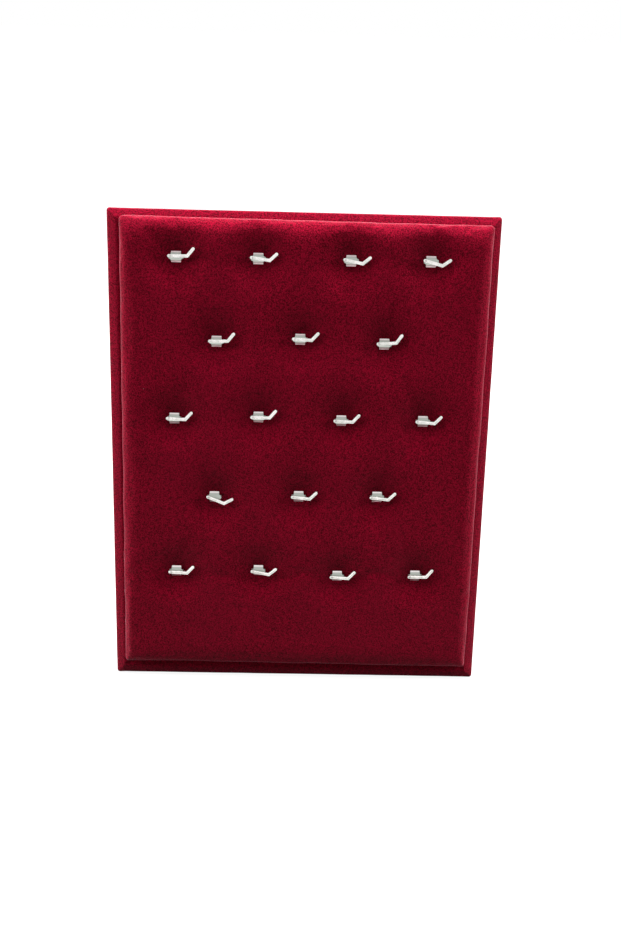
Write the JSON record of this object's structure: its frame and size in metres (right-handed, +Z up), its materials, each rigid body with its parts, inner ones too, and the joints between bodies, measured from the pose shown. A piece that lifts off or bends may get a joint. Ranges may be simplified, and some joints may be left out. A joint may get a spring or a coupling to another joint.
{
  "type": "necklace display stand",
  "caption": "Velvet-wrapped easel board with a raised, tufted velvet pad that carries rows of swivelling metal hooks for necklaces, standing on a hinged rear strut.",
  "frame": {"origin": "on the floor, under the middle of the whole stand with its strut open", "axes": "+Z up, -Y towards the customer, out of the velvet face, +X to the right as seen from the front"},
  "size_m": [0.2, 0.0954, 0.2449],
  "materials": {
    "velvet": "deep crimson cotton velvet with a short dense pile",
    "foam": "open-cell polyurethane foam",
    "greyboard": "dense grey card",
    "lining_paper": "black grained covering paper on card",
    "nickel_plate": "bright nickel-plated pressed steel",
    "nickel_lever": "bright nickel-plated pressed steel",
    "hinge_steel": "zinc-plated pressed steel",
    "brad_brass": "brassed split rivet"
  },
  "bodies": {
    "board": {"back_board": "greyboard", "board_velvet": "velvet", "lining_card": "lining_paper", "panel_card": "greyboard", "pad_foam": "foam", "pad_velvet": "velvet", "clip_bases": "nickel_plate", "hinge_leaf_board": "hinge_steel", "hinge_brads_board": "brad_brass", "hinge_pin": "hinge_steel"},
    "strut": {"strut_core": "greyboard", "strut_papers": "lining_paper", "hinge_leaf_strut": "hinge_steel", "hinge_brads_strut": "brad_brass"},
    "hook_01": {"hook_lever_01": "nickel_lever"},
    "hook_02": {"hook_lever_02": "nickel_lever"},
    "hook_03": {"hook_lever_03": "nickel_lever"},
    "hook_04": {"hook_lever_04": "nickel_lever"},
    "hook_05": {"hook_lever_05": "nickel_lever"},
    "hook_06": {"hook_lever_06": "nickel_lever"},
    "hook_07": {"hook_lever_07": "nickel_lever"},
    "hook_08": {"hook_lever_08": "nickel_lever"},
    "hook_09": {"hook_lever_09": "nickel_lever"},
    "hook_10": {"hook_lever_10": "nickel_lever"},
    "hook_11": {"hook_lever_11": "nickel_lever"},
    "hook_12": {"hook_lever_12": "nickel_lever"},
    "hook_13": {"hook_lever_13": "nickel_lever"},
    "hook_14": {"hook_lever_14": "nickel_lever"},
    "hook_15": {"hook_lever_15": "nickel_lever"},
    "hook_16": {"hook_lever_16": "nickel_lever"},
    "hook_17": {"hook_lever_17": "nickel_lever"},
    "hook_18": {"hook_lever_18": "nickel_lever"}
  },
  "joints": [
    {"name": "strut_hinge", "type": "hinge", "parent": "board", "child": "strut", "pos_m": [0, 0.00408, 0.15828], "axis": [-1, 0, 0], "range_deg": [0, 29.8]},
    {"name": "hook_01_swing", "type": "hinge", "parent": "board", "child": "hook_01", "pos_m": [-0.06733, 0.00921, 0.22418], "axis": [0, -0.9659, 0.2588], "range_deg": [-28.5, 7.5]},
    {"name": "hook_02_swing", "type": "hinge", "parent": "board", "child": "hook_02", "pos_m": [-0.02588, 0.00921, 0.22418], "axis": [0, -0.9659, 0.2588], "range_deg": [-20.5, 15.5]},
    {"name": "hook_03_swing", "type": "hinge", "parent": "board", "child": "hook_03", "pos_m": [0.02108, 0.00921, 0.22418], "axis": [0, -0.9659, 0.2588], "range_deg": [-17, 19]},
    {"name": "hook_04_swing", "type": "hinge", "parent": "board", "child": "hook_04", "pos_m": [0.06153, 0.00934, 0.22466], "axis": [0, -0.9659, 0.2588], "range_deg": [-13, 23]},
    {"name": "hook_05_swing", "type": "hinge", "parent": "board", "child": "hook_05", "pos_m": [-0.04686, -0.00172, 0.18338], "axis": [0, -0.9659, 0.2588], "range_deg": [-29, 7]},
    {"name": "hook_06_swing", "type": "hinge", "parent": "board", "child": "hook_06", "pos_m": [-0.0039, -0.0012, 0.18531], "axis": [0, -0.9659, 0.2588], "range_deg": [-25, 11]},
    {"name": "hook_07_swing", "type": "hinge", "parent": "board", "child": "hook_07", "pos_m": [0.03955, -0.00159, 0.18386], "axis": [0, -0.9659, 0.2588], "range_deg": [-32, 4]},
    {"name": "hook_08_swing", "type": "hinge", "parent": "board", "child": "hook_08", "pos_m": [-0.06883, -0.01226, 0.14403], "axis": [0, -0.9659, 0.2588], "range_deg": [-25.5, 10.5]},
    {"name": "hook_09_swing", "type": "hinge", "parent": "board", "child": "hook_09", "pos_m": [-0.02488, -0.01188, 0.14548], "axis": [0, -0.9659, 0.2588], "range_deg": [-27.5, 8.5]},
    {"name": "hook_10_swing", "type": "hinge", "parent": "board", "child": "hook_10", "pos_m": [0.01858, -0.01213, 0.14451], "axis": [0, -0.9659, 0.2588], "range_deg": [-25.5, 10.5]},
    {"name": "hook_11_swing", "type": "hinge", "parent": "board", "child": "hook_11", "pos_m": [0.06153, -0.01201, 0.14499], "axis": [0, -0.9659, 0.2588], "range_deg": [-23, 13]},
    {"name": "hook_12_swing", "type": "hinge", "parent": "board", "child": "hook_12", "pos_m": [-0.04786, -0.0232, 0.10323], "axis": [0, -0.9659, 0.2588], "range_deg": [-6.5, 29.5]},
    {"name": "hook_13_swing", "type": "hinge", "parent": "board", "child": "hook_13", "pos_m": [-0.0029, -0.02294, 0.10419], "axis": [0, -0.9659, 0.2588], "range_deg": [-22.5, 13.5]},
    {"name": "hook_14_swing", "type": "hinge", "parent": "board", "child": "hook_14", "pos_m": [0.03905, -0.02281, 0.10468], "axis": [0, -0.9659, 0.2588], "range_deg": [-22, 14]},
    {"name": "hook_15_swing", "type": "hinge", "parent": "board", "child": "hook_15", "pos_m": [-0.06833, -0.03413, 0.06243], "axis": [0, -0.9659, 0.2588], "range_deg": [-25, 11]},
    {"name": "hook_16_swing", "type": "hinge", "parent": "board", "child": "hook_16", "pos_m": [-0.02388, -0.03387, 0.06339], "axis": [0, -0.9659, 0.2588], "range_deg": [-18, 18]},
    {"name": "hook_17_swing", "type": "hinge", "parent": "board", "child": "hook_17", "pos_m": [0.01908, -0.03452, 0.06098], "axis": [0, -0.9659, 0.2588], "range_deg": [-25, 11]},
    {"name": "hook_18_swing", "type": "hinge", "parent": "board", "child": "hook_18", "pos_m": [0.06153, -0.03426, 0.06195], "axis": [0, -0.9659, 0.2588], "range_deg": [-29, 7]}
  ]
}
